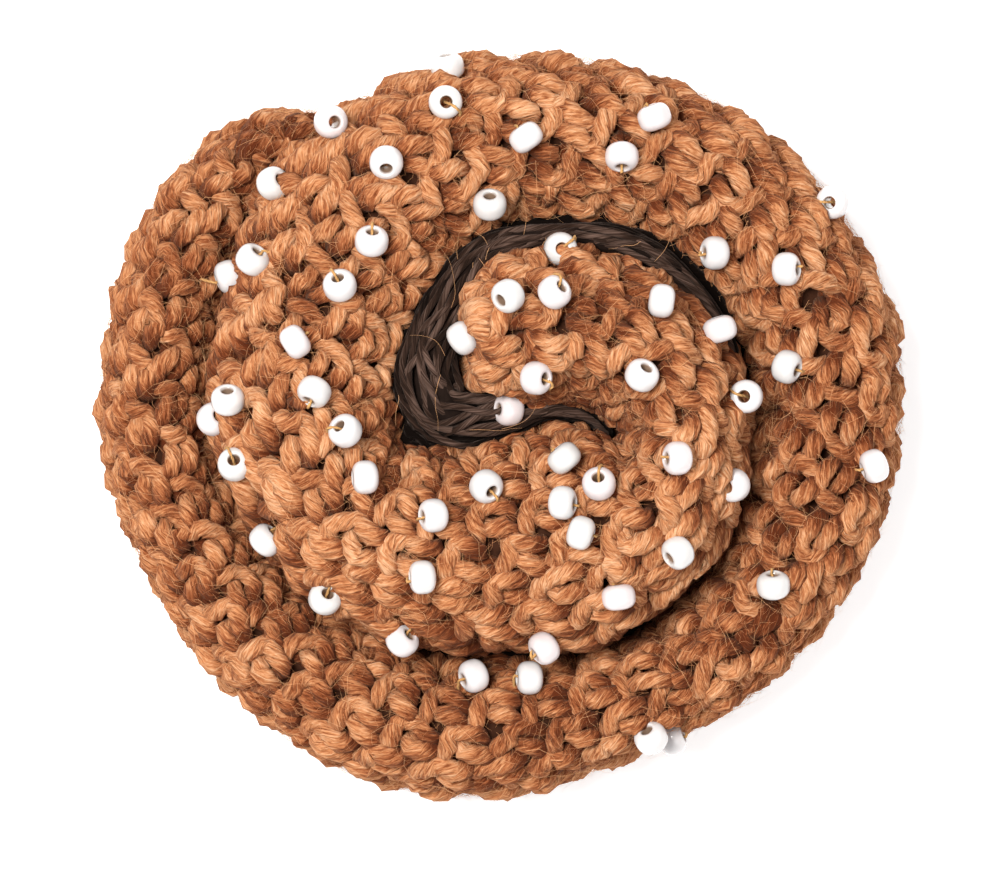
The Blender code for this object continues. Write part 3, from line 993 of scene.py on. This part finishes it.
def stray_hairs():
    """Light hairs of the other yarn that have come to lie over the filling."""
    route, across, _ = filling_route()
    shown = np.flatnonzero(route[:, 2] > STRAY_ROOM)
    paths = []
    for _ in range(STRAY_HAIRS):
        start = rng.choice(shown)
        spot = route[start, :2] + across[start] * route[start, 2] * rng.uniform(-1, 1)
        heading = rng.uniform(0, 2 * math.pi)
        bend = rng.normal(0, STRAY_BEND)
        step = rng.uniform(*STRAY_LENGTHS) / (STRAY_POINTS - 1)
        places = []
        for _ in range(STRAY_POINTS):
            places.append((*spot, route[start, 3] + rng.uniform(*STRAY_LIFT)))
            heading += bend + rng.normal(0, STRAY_WAVER)
            spot = spot + step * np.array((math.cos(heading), math.sin(heading)))
        paths.append(evened(catmull(places, STRAY_SMOOTH), 3, spacing=STRAY_STEP))
    return paths


def fuzz(name, paths, radius, material):
    """All the loose fibres of one kind, as thin three-sided hairs."""
    profile = yarn_profile("fuzz_profile", radius, HAIR_SIDES, 0, 0.0)
    data = bpy.data.curves.new(name, "CURVE")
    data.dimensions = "3D"
    data.bevel_mode = "OBJECT"
    data.bevel_object = profile
    for path in paths:
        spline = data.splines.new("POLY")
        spline.points.add(len(path) - 1)
        spline.points.foreach_set("co", np.column_stack((path * MM, np.ones(len(path)))).ravel())
        taper = np.interp(np.arange(len(path)), (0, 1, len(path) - 1), HAIR_TAPER)
        spline.points.foreach_set("radius", taper)
    data.use_fill_caps = True
    holder = bpy.data.objects.new(name, data)
    bpy.context.scene.collection.objects.link(holder)
    depsgraph = bpy.context.evaluated_depsgraph_get()
    mesh = bpy.data.meshes.new_from_object(holder.evaluated_get(depsgraph))
    bpy.data.objects.remove(holder)
    bpy.data.curves.remove(data)
    bpy.data.objects.remove(profile)
    whole = bmesh.new()
    whole.from_mesh(mesh)
    bpy.data.meshes.remove(mesh)
    bmesh.ops.recalc_face_normals(whole, faces=whole.faces)
    finished(name, whole, material)


# Materials


def set_inputs(node, values):
    """Fixed values for a node's inputs, by their names."""
    for name, value in values.items():
        node.inputs[name].default_value = value


def socket(group, name, kind, way="INPUT", value=None):
    made = group.interface.new_socket(name, in_out=way, socket_type=kind)
    if value is not None:
        made.default_value = value
    return made


def math_node(tree, operation, first, second=None):
    node = tree.nodes.new("ShaderNodeMath")
    node.operation = operation
    for index, value in enumerate((first, second)):
        if value is None:
            continue
        if isinstance(value, (int, float)):
            node.inputs[index].default_value = value
        else:
            tree.links.new(value, node.inputs[index])
    return node.outputs[0]


def twisted_fibres():
    """Fine fibres that run round a yarn at its twist, from its UV map: lightness and height."""
    group = bpy.data.node_groups.new("twisted_fibres", "ShaderNodeTree")
    socket(group, "Yarn UV", "NodeSocketVector")
    socket(group, "Turns per mm", "NodeSocketFloat", value=0.1)
    socket(group, "Fineness", "NodeSocketFloat", value=6.0)
    socket(group, "Stretch", "NodeSocketFloat", value=0.12)
    socket(group, "Fibres", "NodeSocketFloat", "OUTPUT")
    socket(group, "Strands", "NodeSocketFloat", "OUTPUT")
    socket(group, "Height", "NodeSocketFloat", "OUTPUT")
    start = group.nodes.new("NodeGroupInput")
    end = group.nodes.new("NodeGroupOutput")
    parts = group.nodes.new("ShaderNodeSeparateXYZ")
    group.links.new(start.outputs["Yarn UV"], parts.inputs[0])
    along, around = parts.outputs[0], parts.outputs[1]
    twisted = math_node(group, "MULTIPLY", along, start.outputs["Turns per mm"])
    turned = math_node(group, "ADD", around, twisted)
    angle = math_node(group, "MULTIPLY", turned, 2 * math.pi)
    place = group.nodes.new("ShaderNodeCombineXYZ")
    group.links.new(math_node(group, "COSINE", angle), place.inputs[0])
    group.links.new(math_node(group, "SINE", angle), place.inputs[1])
    group.links.new(math_node(group, "MULTIPLY", along, start.outputs["Stretch"]), place.inputs[2])

    def noise(scale, detail):
        node = group.nodes.new("ShaderNodeTexNoise")
        set_inputs(node, {"Detail": detail, **FIBRE_NOISE})
        group.links.new(place.outputs[0], node.inputs["Vector"])
        group.links.new(scale, node.inputs["Scale"])
        return node.outputs["Fac"]

    fine = noise(start.outputs["Fineness"], 3.0)
    broad = noise(math_node(group, "MULTIPLY", start.outputs["Fineness"], BROAD_SCALE), 1.0)
    height = math_node(group, "ADD", math_node(group, "MULTIPLY", fine, FIBRE_RELIEF), broad)
    group.links.new(fine, end.inputs["Fibres"])
    group.links.new(broad, end.inputs["Strands"])
    group.links.new(height, end.inputs["Height"])
    return group


def ramp(tree, value, stops):
    node = tree.nodes.new("ShaderNodeValToRGB")
    elements = node.color_ramp.elements
    while len(elements) < len(stops):
        elements.new(0.5)
    for element, (position, colour) in zip(elements, stops):
        element.position = position
        element.color = (*colour, 1)
    tree.links.new(value, node.inputs[0])
    return node.outputs[0]


def new_material(name):
    material = bpy.data.materials.new(name)
    material.use_nodes = True
    return material, material.node_tree, material.node_tree.nodes["Principled BSDF"]


def yarn_material(
    name, stops, turns, fineness, stretch, relief, sheen, sheen_tint,
    painted_hole_shade=0.0, painted_low_shade=0.0, fibre_share=0.5,
):
    """Twisted yarn, toned by its fibres and patches, with painted shade in holes and low on the
    strip.
    """
    material, tree, shader = new_material(name)
    uv = tree.nodes.new("ShaderNodeUVMap")
    uv.uv_map = "UVMap"
    fibres = tree.nodes.new("ShaderNodeGroup")
    fibres.node_tree = FIBRES
    set_inputs(fibres, {"Turns per mm": turns, "Fineness": fineness, "Stretch": stretch})
    tree.links.new(uv.outputs[0], fibres.inputs["Yarn UV"])
    object_place = tree.nodes.new("ShaderNodeTexCoord")
    patches = tree.nodes.new("ShaderNodeTexNoise")
    set_inputs(patches, {"Scale": PATCH_SCALE, "Detail": 2.0})
    tree.links.new(object_place.outputs["Object"], patches.inputs["Vector"])
    # Painted shade in the holes: darker where the crest attribute is low.
    crest = tree.nodes.new("ShaderNodeAttribute")
    crest.attribute_name = "crest"
    painted_hole_shading = tree.nodes.new("ShaderNodeMapRange")
    set_inputs(painted_hole_shading, {"To Min": -painted_hole_shade, "To Max": 0.0})
    tree.links.new(crest.outputs["Fac"], painted_hole_shading.inputs["Value"])
    # Painted shade low on the strip, fading out higher up.
    height = tree.nodes.new("ShaderNodeSeparateXYZ")
    tree.links.new(object_place.outputs["Object"], height.inputs[0])
    painted_low_shading = tree.nodes.new("ShaderNodeMapRange")
    set_inputs(painted_low_shading, {"From Min": PAINTED_LOW_SHADE_HEIGHTS[0] * MM, "From Max": PAINTED_LOW_SHADE_HEIGHTS[1] * MM})
    set_inputs(painted_low_shading, {"To Min": -painted_low_shade, "To Max": 0.0})
    tree.links.new(height.outputs["Z"], painted_low_shading.inputs["Value"])
    painted_shades = math_node(tree, "ADD", painted_hole_shading.outputs[0], painted_low_shading.outputs[0])
    fine = math_node(tree, "MULTIPLY", fibres.outputs["Fibres"], fibre_share)
    broad = math_node(tree, "MULTIPLY", fibres.outputs["Strands"], STRANDS_IN_TONE)
    patchy = math_node(tree, "MULTIPLY", patches.outputs["Fac"], PATCHES_IN_TONE)
    toned = math_node(tree, "ADD", fine, painted_shades)
    mixed = math_node(tree, "ADD", toned, math_node(tree, "ADD", broad, patchy))
    tree.links.new(ramp(tree, mixed, stops), shader.inputs["Base Color"])
    bump = tree.nodes.new("ShaderNodeBump")
    set_inputs(bump, {"Strength": 1.0, "Distance": relief * MM})
    tree.links.new(fibres.outputs["Height"], bump.inputs["Height"])
    tree.links.new(bump.outputs[0], shader.inputs["Normal"])
    set_inputs(shader, {**YARN_FINISH, "Sheen Weight": sheen, "Sheen Tint": (*sheen_tint, 1)})
    return material


def plain_cloth(name, colour):
    """Matte fibre stuffing, with a mottled tone and a felted relief."""
    material, tree, shader = new_material(name)
    place = tree.nodes.new("ShaderNodeTexCoord")
    noise = tree.nodes.new("ShaderNodeTexNoise")
    set_inputs(noise, {"Scale": CLOTH_SCALE, "Detail": 3.0})
    tree.links.new(place.outputs["Object"], noise.inputs["Vector"])
    dark = tuple(value * CLOTH_DARKEST for value in colour)
    tone = ramp(tree, noise.outputs["Fac"], ((0.3, dark), (0.7, colour)))
    tree.links.new(tone, shader.inputs["Base Color"])
    bump = tree.nodes.new("ShaderNodeBump")
    bump.inputs["Distance"].default_value = CLOTH_RELIEF * MM
    tree.links.new(noise.outputs["Fac"], bump.inputs["Height"])
    tree.links.new(bump.outputs[0], shader.inputs["Normal"])
    set_inputs(shader, CLOTH_FINISH)
    return material


def bead_material():
    """Opaque white glass, a shade pinker or greyer from bead to bead, with painted brown shade
    inside the hole.
    """
    material, tree, shader = new_material("white_bead_glass")
    shade = tree.nodes.new("ShaderNodeAttribute")
    shade.attribute_name = "bead_shade"
    tone = ramp(tree, shade.outputs["Fac"], BEAD_STOPS)
    hole = tree.nodes.new("ShaderNodeAttribute")
    hole.attribute_name = "bead_hole_painted_shade"
    bead_hole_shade_mix = tree.nodes.new("ShaderNodeMixRGB")
    tree.links.new(hole.outputs["Fac"], bead_hole_shade_mix.inputs["Fac"])
    tree.links.new(tone, bead_hole_shade_mix.inputs["Color1"])
    bead_hole_shade_mix.inputs["Color2"].default_value = (*BEAD_HOLE_PAINTED_SHADE, 1)
    tree.links.new(bead_hole_shade_mix.outputs[0], shader.inputs["Base Color"])
    set_inputs(shader, BEAD_FINISH)
    return material


FIBRES = twisted_fibres()
dough_yarn = yarn_material(
    "dough_yarn_twist", DOUGH_STOPS, turns=0.0, fineness=7.0, stretch=0.28, relief=0.36,
    sheen=0.08, sheen_tint=(1.0, 0.68, 0.48), painted_hole_shade=0.19, painted_low_shade=0.032, fibre_share=0.36,
)
filling_yarn = yarn_material(
    "filling_yarn_twist", FILLING_STOPS, turns=0.0, fineness=2.5, stretch=0.10, relief=0.16,
    sheen=0.10, sheen_tint=(0.6, 0.45, 0.38), painted_hole_shade=0.28,
)
thread = yarn_material(
    "golden_thread", THREAD_STOPS, turns=0.2, fineness=1.5, stretch=0.3, relief=0.03,
    sheen=0.1, sheen_tint=(1.0, 0.8, 0.5),
)
fuzz_brown = yarn_material(
    "fuzz_fibre", FUZZ_STOPS, turns=0.2, fineness=1.0, stretch=0.1, relief=0.005,
    sheen=0.2, sheen_tint=(1.0, 0.8, 0.6),
)
frizz_brown = yarn_material(
    "frizz_fibre", FRIZZ_STOPS, turns=0.2, fineness=1.0, stretch=0.1, relief=0.005,
    sheen=0.1, sheen_tint=(1.0, 0.8, 0.6),
)
stuffing = plain_cloth("stuffing_painted_shade", STUFFING_PAINTED_SHADE)
filling_cloth = plain_cloth("filling_cloth", FILLING_COLOUR)
bead_glass = bead_material()


# The pieces

core_sheet = strip_sheet(CORE_DEPTH, CORE_ROUTE_STEP)
core = finished("stuffed_core", core_sheet, stuffing, ("dough_strip",))
stitched_yarn(dough_yarn)
filling_body(filling_cloth)
filling_strands(filling_yarn)
threaded_beads(bead_glass, thread)
for kind, count, points, lengths, lifts, radius in FUZZ_KINDS:
    finish = fuzz_brown if kind.endswith("_fuzz") else frizz_brown
    fuzz(kind, fuzz_paths(count, points, lengths, lifts), radius, finish)
fuzz("filling_fuzz", stray_hairs(), STRAY_RADIUS, fuzz_brown)


# Floor, light and camera


def plain_floor():
    sheet = bmesh.new()
    bmesh.ops.create_grid(sheet, x_segments=1, y_segments=1, size=FLOOR_HALF)
    data = bpy.data.meshes.new("floor")
    sheet.to_mesh(data)
    sheet.free()
    material, _, shader = new_material("floor_paper")
    set_inputs(shader, FLOOR_FINISH)
    data.materials.append(material)
    floor = bpy.data.objects.new("floor", data)
    bpy.context.scene.collection.objects.link(floor)


def soft_light(name, place, size, power, colour):
    data = bpy.data.lights.new(name, "AREA")
    data.shape = "DISK"
    data.size = size
    data.energy = power
    data.color = colour
    light = bpy.data.objects.new(name, data)
    light.location = place
    aim = Vector(LIGHT_AIM) - Vector(place)
    light.rotation_euler = aim.to_track_quat("-Z", "Y").to_euler()
    bpy.context.scene.collection.objects.link(light)


plain_floor()
world = bpy.data.worlds.new("studio")
world.use_nodes = True
world.node_tree.nodes["Background"].inputs[0].default_value = (1, 1, 1, 1)
world.node_tree.nodes["Background"].inputs[1].default_value = WORLD_LIGHT
bpy.context.scene.world = world
for light in LIGHTS:
    soft_light(*light)

camera_data = bpy.data.cameras.new("camera")
camera_data.sensor_width = SENSOR
camera_data.lens = SENSOR * (CAMERA_HEIGHT - SILHOUETTE_HEIGHT) / (IMAGE_WIDTH * PIXEL)
camera_data.clip_end = CAMERA_SEES
camera = bpy.data.objects.new("camera", camera_data)
camera.location = (
    (IMAGE_WIDTH / 2 - ORIGIN_PIXEL[0]) * PIXEL * MM,
    (ORIGIN_PIXEL[1] - IMAGE_HEIGHT / 2) * PIXEL * MM,
    CAMERA_HEIGHT * MM,
)
bpy.context.scene.collection.objects.link(camera)
bpy.context.scene.camera = camera
bpy.context.scene.view_settings.view_transform = "Standard"
